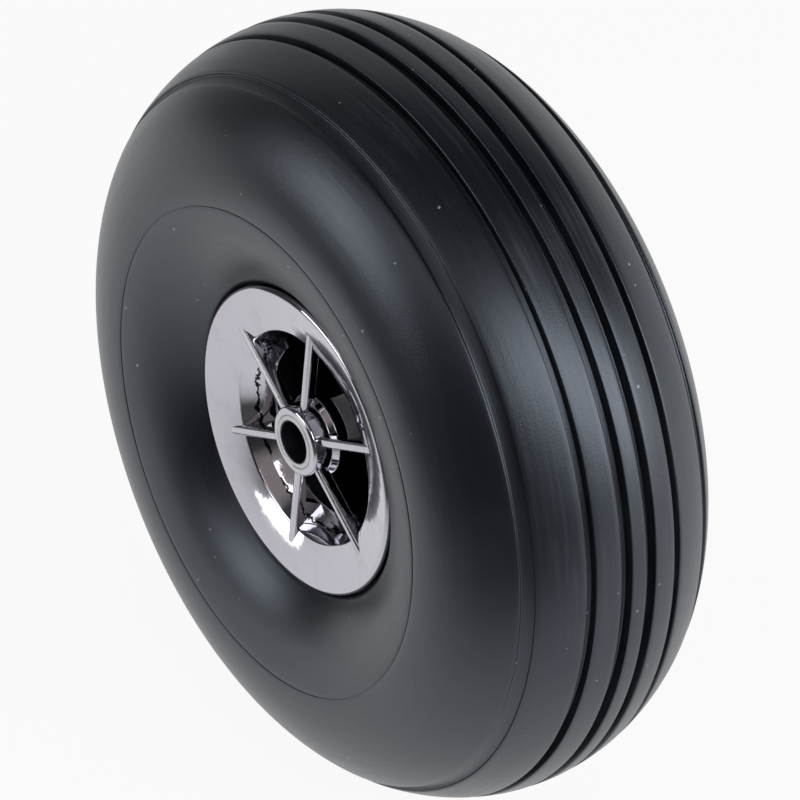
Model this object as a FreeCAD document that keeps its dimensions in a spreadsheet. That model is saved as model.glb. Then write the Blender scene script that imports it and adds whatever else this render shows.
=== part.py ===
"""Model-aircraft wheel: a hollow treaded rubber tyre held between two plated six-spoke hub
mouldings, which are joined by an axle sleeve.

The wheel's centre is the origin, the axle runs along Y, and the outer face looks towards -Y.
All lengths are millimetres, and all angles are degrees.
"""
import FreeCAD, Part
import math
import os

import Sketcher

# Driving dimensions: (alias, value, what it measures)
SIZES = [
    ("tyre_diameter", 75.0, "outside diameter over the tread"),
    ("tyre_width", 29.2, "greatest width over the sidewalls"),
    ("crown_curve", 16.4, "radius of the tread's cross curve"),
    ("shoulder_angle", 32.6, "turn of the crown's curve where the sidewall's takes over"),
    ("toe_recess", 0.65, "how far behind the lip's crest the sidewall meets the hub"),
    ("tyre_wall", 2.4, "rubber thickness of tread and sidewalls"),
    ("groove_depth", 1.1, "depth of the four tread grooves"),
    ("inner_groove_offset", 1.35, "grooves beside the centre rib, from the middle plane"),
    ("inner_groove_width", 1.1, "width of the grooves beside the centre rib"),
    ("outer_groove_offset", 4.76, "outer grooves, from the middle plane"),
    ("outer_groove_width", 0.85, "width of the outer grooves"),
    ("band_offset", 9.81, "shoulder bands, from the middle plane"),
    ("band_width", 1.3, "width of the shallow shoulder bands"),
    ("band_depth", 0.35, "depth of the shoulder bands"),
    ("hub_width", 22.0, "hub length from boss face to boss face"),
    ("lip_radius", 14.95, "outside radius of the hub's rim lip"),
    ("lip_round", 0.52, "radius of the rolled lip"),
    ("lip_rise", 0.08, "how far the lip stands proud of the boss face"),
    ("lip_depth", 1.05, "lip thickness from crest to back"),
    ("dish_angle", 15.6, "slope of the shallow outer dish"),
    ("knee_radius", 10.4, "radius where the dish turns steeper"),
    ("knee_round", 0.4, "rounding of that turn"),
    ("throat_radius", 9.5, "radius where the steep dish meets the throat wall"),
    ("throat_depth", 2.4, "depth of that edge behind the lip's crest"),
    ("throat_end_radius", 8.2, "inner radius of the throat wall's back edge"),
    ("throat_end_depth", 4.0, "depth of the throat wall's back edge"),
    ("dish_wall", 0.95, "wall thickness of dish and throat"),
    ("seat_radius", 13.2, "radius of the collar that the tyre's bead sits on"),
    ("seat_wall", 0.75, "thickness of that collar"),
    ("bead_length", 2.3, "axial length of the tyre's bead"),
    ("barb_height", 0.45, "height of the barb that keeps the bead on its collar"),
    ("barb_length", 0.6, "axial length of the barb"),
    ("bead_clearance", 0.06, "gap round the bead in its seat"),
    ("boss_radius", 3.4, "radius of the hub's centre boss"),
    ("boss_round", 0.6, "rounding of the boss's front edge"),
    ("boss_mouth", 0.05, "chamfer at the mouth of the boss's bore"),
    ("boss_foot_radius", 3.9, "radius of the thicker foot of the boss"),
    ("boss_neck", 1.92, "depth from the boss face to the start of its foot"),
    ("boss_length", 3.62, "axial length of the boss"),
    ("spoke_width", 0.95, "width of a spoke"),
    ("spoke_depth", 1.1, "axial depth of a spoke"),
    ("spoke_setback", 0.56, "how far the spokes lie behind the boss face"),
    ("spoke_round", 0.36, "rounding of a spoke's front edges"),
    ("spoke_count", 6, "number of spokes"),
    ("spoke_turn", 22.0, "angle from +X to the first spoke"),
    ("web_width", 0.8, "thickness of the web that ties a spoke into the throat"),
    ("web_reach", 1.1, "how far that web runs in from the throat wall"),
    ("axle_diameter", 4.0, "bore for the axle"),
    ("sleeve_wall", 0.6, "wall thickness of the axle sleeve"),
    ("sleeve_proud", 0.05, "how far the sleeve's ends stand out of the boss faces"),
    ("sleeve_clearance", 0.02, "gap between the sleeve and each boss"),
]

# Places worked out from the driving dimensions: (alias, formula)
LAYOUT = [
    # tyre: radius from the axle, and offset from the middle plane
    ("crown_centre", "=Sizes.tyre_diameter / 2 - Sizes.crown_curve"),
    ("turn", "=Sizes.shoulder_angle * 1 deg"),
    ("half_width", "=Sizes.tyre_width / 2"),
    ("side_curve", "=(half_width - Sizes.crown_curve * sin(turn)) / (1 - sin(turn))"),
    ("side_centre", "=crown_centre + (Sizes.crown_curve - side_curve) * cos(turn)"),
    ("side_centre_offset", "=half_width - side_curve"),
    ("shoulder_radius", "=crown_centre + Sizes.crown_curve * cos(turn)"),
    ("shoulder_offset", "=Sizes.crown_curve * sin(turn)"),
    ("toe_radius", "=Sizes.lip_radius + 2 * Sizes.bead_clearance"),
    ("toe_offset", "=Sizes.hub_width / 2 + Sizes.lip_rise - Sizes.toe_recess"),
    ("toe_in", "=half_width - toe_offset"),
    ("toe_curve", "=((side_centre - toe_radius)^2 + toe_in^2) / (2 * toe_in)"),
    ("toe_centre_offset", "=half_width - toe_curve"),
    ("bead_face", "=Sizes.hub_width / 2 + Sizes.lip_rise - Sizes.lip_depth - Sizes.bead_clearance"),
    ("bead_back", "=bead_face - Sizes.bead_length"),
    ("inner_crown_curve", "=Sizes.crown_curve - Sizes.tyre_wall"),
    ("inner_side_curve", "=side_curve - Sizes.tyre_wall"),
    ("inner_shoulder_radius", "=crown_centre + inner_crown_curve * cos(turn)"),
    ("inner_shoulder_offset", "=inner_crown_curve * sin(turn)"),
    ("inner_half_width", "=half_width - Sizes.tyre_wall"),
    ("heel_radius", "=Sizes.lip_radius + Sizes.tyre_wall / 2"),
    ("heel_in", "=inner_half_width - bead_back"),
    ("heel_curve", "=((side_centre - heel_radius)^2 + heel_in^2) / (2 * heel_in)"),
    ("heel_centre_offset", "=inner_half_width - heel_curve"),
    ("bead_radius", "=Sizes.seat_radius + Sizes.bead_clearance"),
    # hub half: radius from the axle, and depth behind the lip's crest
    ("lip_centre", "=Sizes.lip_radius - Sizes.lip_round"),
    ("dish_start_radius", "=lip_centre - Sizes.lip_round * sin(Sizes.dish_angle * 1 deg)"),
    ("dish_start_depth", "=Sizes.lip_round - Sizes.lip_round * cos(Sizes.dish_angle * 1 deg)"),
    ("dish_slope", "=tan(Sizes.dish_angle * 1 deg)"),
    ("knee_depth", "=dish_start_depth + (dish_start_radius - Sizes.knee_radius) * dish_slope"),
    ("steep_slope", "=(Sizes.throat_depth - knee_depth) / (Sizes.knee_radius - Sizes.throat_radius)"),
    ("knee_bend", "=atan(steep_slope) - Sizes.dish_angle * 1 deg"),
    ("knee_back_depth", "=knee_depth + Sizes.dish_wall"),
    ("knee_back_radius", "=Sizes.knee_radius + Sizes.dish_wall * tan(knee_bend / 2)"),
    ("throat_back_radius", "=Sizes.throat_radius + Sizes.dish_wall"),
    ("throat_back_depth", "=knee_back_depth + (knee_back_radius - throat_back_radius) * steep_slope"),
    ("throat_end_back", "=Sizes.throat_end_radius + Sizes.dish_wall"),
    ("collar_inner", "=Sizes.seat_radius - Sizes.seat_wall"),
    ("collar_foot", "=knee_back_depth - (collar_inner - knee_back_radius) * dish_slope"),
    ("barb_start", "=Sizes.lip_depth + Sizes.bead_length + 2 * Sizes.bead_clearance"),
    ("barb_end", "=barb_start + Sizes.barb_length"),
    ("barb_radius", "=Sizes.seat_radius + Sizes.barb_height"),
    ("sleeve_radius", "=Sizes.axle_diameter / 2 + Sizes.sleeve_wall"),
    ("sleeve_length", "=Sizes.hub_width + 2 * Sizes.sleeve_proud"),
    ("boss_bore", "=sleeve_radius + Sizes.sleeve_clearance"),
    ("boss_mouth_radius", "=boss_bore + Sizes.boss_mouth"),
    ("boss_mouth_depth", "=Sizes.lip_rise + Sizes.boss_mouth"),
    ("boss_face_edge", "=Sizes.boss_radius - Sizes.boss_round"),
    ("boss_side_edge", "=Sizes.lip_rise + Sizes.boss_round"),
    ("foot_start", "=Sizes.lip_rise + Sizes.boss_neck"),
    ("foot_full", "=foot_start + Sizes.boss_foot_radius - Sizes.boss_radius"),
    ("boss_back", "=Sizes.lip_rise + Sizes.boss_length"),
    ("spoke_half", "=Sizes.spoke_width / 2"),
    ("spoke_shoulder", "=spoke_half - Sizes.spoke_round"),
    ("spoke_front", "=Sizes.lip_rise + Sizes.spoke_setback"),
    ("spoke_round_end", "=spoke_front + Sizes.spoke_round"),
    ("spoke_back", "=spoke_front + Sizes.spoke_depth"),
    ("spoke_middle", "=spoke_front + Sizes.spoke_depth / 2"),
    ("spoke_start", "=(boss_bore + Sizes.boss_radius) / 2"),
    ("spoke_tip", "=dish_start_radius - (spoke_front - dish_start_depth) / dish_slope"),
    ("spoke_length", "=spoke_tip + Sizes.dish_wall / 2 - spoke_start"),
    ("web_start", "=Sizes.throat_end_radius - Sizes.web_reach"),
    ("web_foot", "=Sizes.throat_end_radius + Sizes.dish_wall / 3"),
    ("web_foot_depth", "=Sizes.throat_end_depth - Sizes.dish_wall / 3"),
    ("web_shoulder", "=Sizes.throat_radius + Sizes.dish_wall / 2"),
    ("web_top", "=Sizes.knee_radius - Sizes.dish_wall / 3"),
]

# Tread cuts: (offset, width and depth aliases)
GROOVES = [
    ("inner_groove_offset", "inner_groove_width", "groove_depth"),
    ("outer_groove_offset", "outer_groove_width", "groove_depth"),
    ("band_offset", "band_width", "band_depth"),
]
GROOVE_PROUD = 0.6      # how far a cutting outline stands out of the rubber, mm

SIZE_NAMES = {row[0] for row in SIZES}

doc = FreeCAD.newDocument("Wheel")


def fill_sheet(name, rows):
    """Make a spreadsheet with one aliased cell for each (alias, text) row."""
    sheet = doc.addObject("Spreadsheet::Sheet", name)
    for number, (alias, text) in enumerate(rows, start=1):
        sheet.set("A%d" % number, alias)
        sheet.set("B%d" % number, text)
        sheet.setAlias("B%d" % number, alias)
    doc.recompute()
    return sheet


sizes = fill_sheet("Sizes", [(alias, str(number)) for alias, number, _ in SIZES])
layout = fill_sheet("Layout", LAYOUT)


def value(name):
    """The number that a sheet holds under an alias, which may start with a minus sign."""
    alias = name.lstrip("-")
    sheet = sizes if alias in SIZE_NAMES else layout
    number = getattr(sheet, alias)
    number = getattr(number, "Value", number)
    return -float(number) if name.startswith("-") else float(number)


def cell(name):
    """The expression for an alias, which may start with a minus sign."""
    alias = name.lstrip("-")
    sheet = "Sizes" if alias in SIZE_NAMES else "Layout"
    sign = "-" if name.startswith("-") else ""
    return "%s%s.%s" % (sign, sheet, alias)


def origin_part(body, role):
    """The body's own origin plane or axis with this role."""
    return next(item for item in body.Origin.OriginFeatures if item.Role == role)


def new_sketch(body, name, role):
    """An empty sketch on one of the body's origin planes."""
    sketch = body.newObject("Sketcher::SketchObject", name)
    sketch.AttachmentSupport = [(origin_part(body, role), "")]
    sketch.MapMode = "FlatFace"
    return sketch


def arc_between(start, end, centre, radius):
    """The shorter arc from start to end, and whether it runs anticlockwise from start."""
    first = math.atan2(start.y - centre.y, start.x - centre.x)
    last = math.atan2(end.y - centre.y, end.x - centre.x)
    forward = (last - first) % (2 * math.pi) < math.pi
    circle = Part.Circle(centre, FreeCAD.Vector(0, 0, 1), radius)
    if forward:
        return Part.ArcOfCircle(circle, first, last), True
    return Part.ArcOfCircle(circle, last, first), False


def draw_outline(sketch, label, corners, curves=None):
    """Draw one closed outline, with each corner and curve bound to the sheets.

    corners are (x, y) pairs of aliases. curves maps the number of the side that starts at a
    corner to the aliases of its arc's centre x, centre y (or None for 0) and radius.
    """
    curves = curves or {}
    points = [FreeCAD.Vector(value(x), value(y), 0) for x, y in corners]
    ends = []
    for number, start in enumerate(points):
        end = points[(number + 1) % len(points)]
        forward = True
        if number in curves:
            centre_x, centre_y, radius = curves[number]
            centre = FreeCAD.Vector(value(centre_x), value(centre_y) if centre_y else 0, 0)
            shape, forward = arc_between(start, end, centre, value(radius))
        else:
            shape = Part.LineSegment(start, end)
        side = sketch.addGeometry(shape, False)
        ends.append((side, 1, 2) if forward else (side, 2, 1))
    for number, (x, y) in enumerate(corners):
        side, start, _ = ends[number]
        before, _, end = ends[number - 1]
        sketch.addConstraint(Sketcher.Constraint("Coincident", before, end, side, start))
        for kind, name in (("DistanceX", x), ("DistanceY", y)):
            rule = Sketcher.Constraint(kind, -1, 1, side, start, value(name))
            index = sketch.addConstraint(rule)
            sketch.renameConstraint(index, "%s%d%s" % (label, number, kind[-1]))
            sketch.setExpression("Constraints[%d]" % index, cell(name))
    for number, (_, _, radius) in curves.items():
        index = sketch.addConstraint(Sketcher.Constraint("Radius", ends[number][0], value(radius)))
        sketch.setExpression("Constraints[%d]" % index, cell(radius))


def revolve(body, name, sketch):
    """Turn a sketch all the way round the axle."""
    feature = body.newObject("PartDesign::Revolution", name)
    feature.Profile = sketch
    feature.ReferenceAxis = (sketch, ["V_Axis"])
    feature.Angle = 360
    return feature


def ring_edge(shape, radius, depth):
    """The name of the full circle of this radius at this depth along the axle."""
    for number, edge in enumerate(shape.Edges, start=1):
        curve = edge.Curve
        if not isinstance(curve, Part.Circle):
            continue
        if abs(curve.Radius - radius) < 1e-4 and abs(curve.Center.y - depth) < 1e-4:
            return "Edge%d" % number
    raise ValueError("no circle of radius %.3f at depth %.3f" % (radius, depth))


def make_tyre():
    """The hollow tyre: one revolved wall with a bead at each side, and grooves cut round it."""
    body = doc.addObject("PartDesign::Body", "tyre")
    body.Label = "tyre"
    wall = new_sketch(body, "TyreWall", "XY_Plane")
    outline = [
        ("toe_radius", "toe_offset"),
        ("side_centre", "half_width"),
        ("shoulder_radius", "shoulder_offset"),
        ("shoulder_radius", "-shoulder_offset"),
        ("side_centre", "-half_width"),
        ("toe_radius", "-toe_offset"),
        ("toe_radius", "-bead_face"),
        ("bead_radius", "-bead_face"),
        ("bead_radius", "-bead_back"),
        ("heel_radius", "-bead_back"),
        ("side_centre", "-inner_half_width"),
        ("inner_shoulder_radius", "-inner_shoulder_offset"),
        ("inner_shoulder_radius", "inner_shoulder_offset"),
        ("side_centre", "inner_half_width"),
        ("heel_radius", "bead_back"),
        ("bead_radius", "bead_back"),
        ("bead_radius", "bead_face"),
        ("toe_radius", "bead_face"),
    ]
    curves = {
        0: ("side_centre", "toe_centre_offset", "toe_curve"),
        1: ("side_centre", "side_centre_offset", "side_curve"),
        2: ("crown_centre", None, "crown_curve"),
        3: ("side_centre", "-side_centre_offset", "side_curve"),
        4: ("side_centre", "-toe_centre_offset", "toe_curve"),
        9: ("side_centre", "-heel_centre_offset", "heel_curve"),
        10: ("side_centre", "-side_centre_offset", "inner_side_curve"),
        11: ("crown_centre", None, "inner_crown_curve"),
        12: ("side_centre", "side_centre_offset", "inner_side_curve"),
        13: ("side_centre", "heel_centre_offset", "heel_curve"),
    }
    draw_outline(wall, "wall", outline, curves)
    revolve(body, "TyreSection", wall)

    tread = new_sketch(body, "TreadGrooves", "XY_Plane")
    cutter = body.newObject("PartDesign::Groove", "TreadCut")
    for index, (offset, width, depth) in enumerate(GROOVES):
        for side in (1, -1):
            draw_groove(tread, offset, width, depth, side)
    cutter.Profile = tread
    cutter.ReferenceAxis = (tread, ["V_Axis"])
    cutter.Angle = 360
    return body


def draw_groove(sketch, offset, width, depth, side):
    """One four-sided cut whose walls stand square to the tread's cross curve."""
    middle = "asin(Sizes.%s / Sizes.crown_curve)" % offset
    half = "(Sizes.%s / 2 / Sizes.crown_curve * 1 rad)" % width
    proud = "(Sizes.crown_curve + %s)" % GROOVE_PROUD
    floor = "(Sizes.crown_curve - Sizes.%s)" % depth
    corners = [(proud, "-"), (proud, "+"), (floor, "+"), (floor, "-")]
    centre = value("crown_centre")
    curve = value("crown_curve")
    reach = {proud: curve + GROOVE_PROUD, floor: curve - value(depth)}
    angle = math.asin(value(offset) / curve)
    spread = value(width) / 2 / curve
    points = []
    for length, sign in corners:
        turn = angle + (spread if sign == "+" else -spread)
        points.append(FreeCAD.Vector(centre + reach[length] * math.cos(turn),
                                     side * reach[length] * math.sin(turn), 0))
    first = sketch.GeometryCount
    for number in range(4):
        sketch.addGeometry(Part.LineSegment(points[number], points[(number + 1) % 4]), False)
    for number, (length, sign) in enumerate(corners):
        line = first + number
        before = first + (number - 1) % 4
        sketch.addConstraint(Sketcher.Constraint("Coincident", before, 2, line, 1))
        turn = "(%s %s %s)" % (middle, sign, half)
        across = "Layout.crown_centre + %s * cos(%s)" % (length, turn)
        along = "%s * %s * sin(%s)" % (side, length, turn)
        for kind, start, rule in (("DistanceX", points[number].x, across),
                                  ("DistanceY", points[number].y, along)):
            index = sketch.addConstraint(Sketcher.Constraint(kind, -1, 1, line, 1, start))
            sketch.setExpression("Constraints[%d]" % index, rule)


def make_hub_half(name, placement):
    """One hub moulding: rim lip, dish, throat, bead collar, boss and a ring of spokes.

    It is drawn with its lip's crest at 0 and its depth along +Y, then placed.
    """
    body = doc.addObject("PartDesign::Body", name)
    body.Label = name
    body.AllowCompound = True
    section = new_sketch(body, name + "_section", "XY_Plane")
    rim = [
        ("lip_radius", "lip_depth"),
        ("lip_radius", "lip_round"),
        ("dish_start_radius", "dish_start_depth"),
        ("knee_radius", "knee_depth"),
        ("throat_radius", "throat_depth"),
        ("throat_end_radius", "throat_end_depth"),
        ("throat_end_back", "throat_end_depth"),
        ("throat_back_radius", "throat_back_depth"),
        ("knee_back_radius", "knee_back_depth"),
        ("collar_inner", "collar_foot"),
        ("collar_inner", "barb_end"),
        ("seat_radius", "barb_end"),
        ("barb_radius", "barb_start"),
        ("seat_radius", "barb_start"),
        ("seat_radius", "lip_depth"),
    ]
    draw_outline(section, "rim", rim, {1: ("lip_centre", "lip_round", "lip_round")})
    boss = [
        ("boss_bore", "boss_mouth_depth"),
        ("boss_mouth_radius", "lip_rise"),
        ("boss_face_edge", "lip_rise"),
        ("boss_radius", "boss_side_edge"),
        ("boss_radius", "foot_start"),
        ("boss_foot_radius", "foot_full"),
        ("boss_foot_radius", "boss_back"),
        ("boss_bore", "boss_back"),
    ]
    draw_outline(section, "boss", boss, {2: ("boss_face_edge", "boss_side_edge", "boss_round")})
    turned = revolve(body, name + "_turned", section)
    doc.recompute()

    knee = body.newObject("PartDesign::Fillet", name + "_knee")
    knee.Base = (turned, [ring_edge(turned.Shape, value("knee_radius"), value("knee_depth"))])
    knee.setExpression("Radius", cell("knee_round"))

    spoke_end = new_sketch(body, name + "_spoke_end", "YZ_Plane")
    spoke = [
        ("spoke_back", "-spoke_half"),
        ("spoke_back", "spoke_half"),
        ("spoke_round_end", "spoke_half"),
        ("spoke_front", "spoke_shoulder"),
        ("spoke_front", "-spoke_shoulder"),
        ("spoke_round_end", "-spoke_half"),
    ]
    rounds = {
        2: ("spoke_round_end", "spoke_shoulder", "spoke_round"),
        4: ("spoke_round_end", "-spoke_shoulder", "spoke_round"),
    }
    draw_outline(spoke_end, "spoke", spoke, rounds)
    spoke_end.setExpression("AttachmentOffset.Base.z", cell("spoke_start"))
    bar = body.newObject("PartDesign::Pad", name + "_spoke")
    bar.Profile = spoke_end
    bar.setExpression("Length", cell("spoke_length"))

    web_side = new_sketch(body, name + "_web_side", "XY_Plane")
    web = [
        ("web_start", "spoke_middle"),
        ("web_foot", "web_foot_depth"),
        ("web_shoulder", "throat_depth"),
        ("web_top", "spoke_middle"),
    ]
    draw_outline(web_side, "web", web)
    tie = body.newObject("PartDesign::Pad", name + "_web")
    tie.Profile = web_side
    tie.Midplane = True
    tie.setExpression("Length", cell("web_width"))

    ring = body.newObject("PartDesign::PolarPattern", name + "_spokes")
    ring.Originals = [bar, tie]
    ring.Axis = (origin_part(body, "Y_Axis"), [""])
    ring.Angle = 360
    ring.setExpression("Occurrences", cell("spoke_count"))
    body.Tip = ring
    body.setExpression("Placement", placement)
    return body


def make_sleeve():
    """The plain tube that joins both bosses and carries the axle."""
    body = doc.addObject("PartDesign::Body", "axle_sleeve")
    body.Label = "axle_sleeve"
    end = new_sketch(body, "SleeveEnd", "XZ_Plane")
    middle = FreeCAD.Vector(0, 0, 0)
    for radius in ("sleeve_radius", "axle_diameter"):
        circle = end.addGeometry(Part.Circle(middle, FreeCAD.Vector(0, 0, 1), value(radius)), False)
        end.addConstraint(Sketcher.Constraint("Coincident", circle, 3, -1, 1))
        kind = "Diameter" if radius == "axle_diameter" else "Radius"
        index = end.addConstraint(Sketcher.Constraint(kind, circle, value(radius)))
        end.setExpression("Constraints[%d]" % index, cell(radius))
    tube = body.newObject("PartDesign::Pad", "SleeveTube")
    tube.Profile = end
    tube.Midplane = True
    tube.setExpression("Length", cell("sleeve_length"))
    return body


def placed(offset_sign, axis, angle):
    """A placement expression that puts a lip's crest at one end of the hub."""
    offset = "%s * (Sizes.hub_width / 2 + Sizes.lip_rise)" % offset_sign
    return ("create(<<placement>>; create(<<vector>>; 0; %s; 0); "
            "create(<<rotation>>; create(<<vector>>; %s); %s))" % (offset, axis, angle))


half_turn = "(Sizes.spoke_turn * 0.5 deg)"
parts = [
    make_tyre(),
    make_hub_half("hub_front", placed("-1", "0; 1; 0", "-Sizes.spoke_turn")),
    make_hub_half("hub_rear", placed("1", "cos(%s); 0; sin(%s)" % (half_turn, half_turn), "180")),
    make_sleeve(),
]
doc.recompute()

for item in doc.Objects:
    if "Invalid" in item.State or "Error" in item.State:
        raise RuntimeError("%s failed: %s" % (item.Name, item.State))
os.makedirs("parts", exist_ok=True)
for body in parts:
    if body.Shape.isNull() or not body.Shape.isValid():
        raise RuntimeError("%s has no valid shape" % body.Label)
    if len(body.Shape.Solids) != 1:
        raise RuntimeError("%s has %d solids" % (body.Label, len(body.Shape.Solids)))
for body in parts:
    body.Shape.exportStep("parts/%s.step" % body.Label)
    box = body.Shape.BoundBox
    print("%s: volume %.1f mm3, Y from %.2f to %.2f, Z from %.2f to %.2f"
          % (body.Label, body.Shape.Volume, box.YMin, box.YMax, box.ZMin, box.ZMax))
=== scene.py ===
"""Model-aircraft wheel: a grooved rubber tyre on a chrome-plated six-spoke hub.

Each piece is turned or swept from a few named sizes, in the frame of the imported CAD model:
the wheel's centre is the origin, the axle runs along Y and the outer face looks towards -Y.
"""
import math

import bmesh
import bpy
from mathutils import Matrix, Vector


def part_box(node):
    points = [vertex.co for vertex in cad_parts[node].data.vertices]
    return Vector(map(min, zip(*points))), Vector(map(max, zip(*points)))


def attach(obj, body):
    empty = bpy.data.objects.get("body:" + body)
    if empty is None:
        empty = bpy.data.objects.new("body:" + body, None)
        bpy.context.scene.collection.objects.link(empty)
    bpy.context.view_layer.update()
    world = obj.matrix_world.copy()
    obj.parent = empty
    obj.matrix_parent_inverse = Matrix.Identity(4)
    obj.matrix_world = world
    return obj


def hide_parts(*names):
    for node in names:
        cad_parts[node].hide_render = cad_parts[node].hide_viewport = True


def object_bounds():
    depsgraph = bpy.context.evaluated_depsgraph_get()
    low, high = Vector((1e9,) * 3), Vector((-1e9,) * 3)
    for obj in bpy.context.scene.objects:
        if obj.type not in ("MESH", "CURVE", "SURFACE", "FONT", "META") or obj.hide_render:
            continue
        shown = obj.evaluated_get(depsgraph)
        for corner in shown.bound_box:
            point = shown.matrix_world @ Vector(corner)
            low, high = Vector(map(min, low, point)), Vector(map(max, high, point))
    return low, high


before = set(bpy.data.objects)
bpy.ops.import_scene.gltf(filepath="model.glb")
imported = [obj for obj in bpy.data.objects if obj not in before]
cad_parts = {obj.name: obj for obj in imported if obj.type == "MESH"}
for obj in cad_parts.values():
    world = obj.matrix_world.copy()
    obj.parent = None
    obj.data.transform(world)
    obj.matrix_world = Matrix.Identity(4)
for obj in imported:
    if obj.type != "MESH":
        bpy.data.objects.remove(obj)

bl_info = {
    "name": "Model Aircraft Wheel",
    "version": (1, 0, 0),
    "blender": (4, 5, 0),
    "location": "View3D > Sidebar > Wheel",
    "description": "Builds a rubber-tyred wheel with a plated spoked hub",
    "category": "Add Mesh",
}

MM = 0.001
CAD_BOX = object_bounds()
TYRE_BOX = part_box("tyre")
HUB_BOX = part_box("hub_front")
SLEEVE_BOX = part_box("axle_sleeve")
BODY = "root"

# How fine the meshes are
TYRE_STEPS = 300        # sides of the turned tyre
HUB_STEPS = 240         # sides of the turned hub and sleeve
CURVE_STEP = 0.45 * MM  # spacing of points along the tyre's section
INNER_STEPS = 40        # points along each half of the tyre's inside
SPOKE_STEPS = 8         # lengths that a spoke is divided into
QUARTER = (0, 30, 60, 90)       # degrees at which a groove's roundings have points
SHARP = math.radians(40)        # edges that turn more than this stay crisp
EDGE_SHARE = 0.49       # most of an edge that the rounding of one corner may take
GROOVE_SHARE = 0.45     # most of a groove's depth that one of its roundings may take

# Roundings too small to be settings
TOE_ROUND = 0.25 * MM           # inner edge of the sidewall
BEAD_ROUND = 0.1 * MM           # face of the bead
BEAD_BACK_ROUND = 0.15 * MM     # back of the bead
FLANGE_ROUND = 0.12 * MM        # back of the lip's flange
THROAT_ROUND = 0.2 * MM         # edges of the throat
COLLAR_ROUND = 0.1 * MM         # end of the collar and tip of the barb
SEAT_ROUND = 0.05 * MM          # corners at both ends of the tyre seat
FOOT_ROUND = 0.15 * MM          # back of the dish at the collar, and back of the boss's foot
NECK_ROUND = 0.2 * MM           # both ends of the boss's flare
BORE_ROUND = 0.05 * MM          # mouth of the boss's bore
BACK_ROUND = 0.08 * MM          # back edges of the boss's bore and of the spokes
WEB_ROUND = 0.1 * MM            # corners of a web
SLEEVE_BORE_ROUND = 0.12 * MM   # mouths of the sleeve's bore
SLEEVE_END_ROUND = 0.14 * MM    # outer edges of the sleeve's ends


def length(name, text, default):
    """A size in metres that a user may change."""
    return bpy.props.FloatProperty(name=name, description=text, default=default, unit="LENGTH",
                                   precision=5, min=0.0)


def colour(name, text, default):
    """A colour that a user may change."""
    return bpy.props.FloatVectorProperty(name=name, description=text, default=default, size=3,
                                         subtype="COLOR", min=0.0, max=1.0)


def angle(name, text, default):
    """An angle, given in degrees, that a user may change."""
    return bpy.props.FloatProperty(name=name, description=text, default=math.radians(default),
                                   subtype="ANGLE")


class TyreSettings(bpy.types.PropertyGroup):
    """Sizes and colours of the tyre."""
    radius: length("Radius", "Outside radius over the tread", TYRE_BOX[1].z)
    width: length("Width", "Greatest width over the sidewalls", TYRE_BOX[1].y - TYRE_BOX[0].y)
    crown_curve: length("Crown Curve", "Radius of the tread's cross curve", 16.4 * MM)
    shoulder: angle("Shoulder", "Angle at which the tread turns into the sidewall", 32.6)
    toe_recess: length("Toe Recess", "Depth of the sidewall's edge behind the lip", 0.65 * MM)
    wall: length("Wall", "Thickness of the rubber", 2.4 * MM)
    groove_depth: length("Groove Depth", "Depth of the four tread grooves", 1.1 * MM)
    inner_groove: length("Inner Groove", "Offset of the inner pair of grooves", 1.35 * MM)
    inner_width: length("Inner Width", "Width of the inner pair", 1.1 * MM)
    outer_groove: length("Outer Groove", "Offset of the outer pair of grooves", 4.76 * MM)
    outer_width: length("Outer Width", "Width of the outer pair", 0.85 * MM)
    band: length("Band", "Offset of the shoulder bands", 9.81 * MM)
    band_width: length("Band Width", "Width of the shoulder bands", 1.3 * MM)
    band_depth: length("Band Depth", "Depth of the shoulder bands", 0.35 * MM)
    groove_round: length("Groove Edge", "Rounding of the groove edges", 0.13 * MM)
    mould_radius: length("Mould Line", "Radius of the thin mould line", 23.65 * MM)
    mould_width: length("Mould Line Width", "Width of the mould line", 0.16 * MM)
    mould_depth: length("Mould Line Depth", "Depth of the mould line", 0.07 * MM)
    bead_length: length("Bead", "Axial length of the bead", 2.3 * MM)
    clearance: length("Clearance", "Gap between the bead and the hub", 0.06 * MM)
    rubber: colour("Rubber", "Colour of clean rubber", (0.0030, 0.0032, 0.0062))
    worn: colour("Worn Rubber", "Colour of rubbed and dusty rubber", (0.020, 0.021, 0.026))


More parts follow.
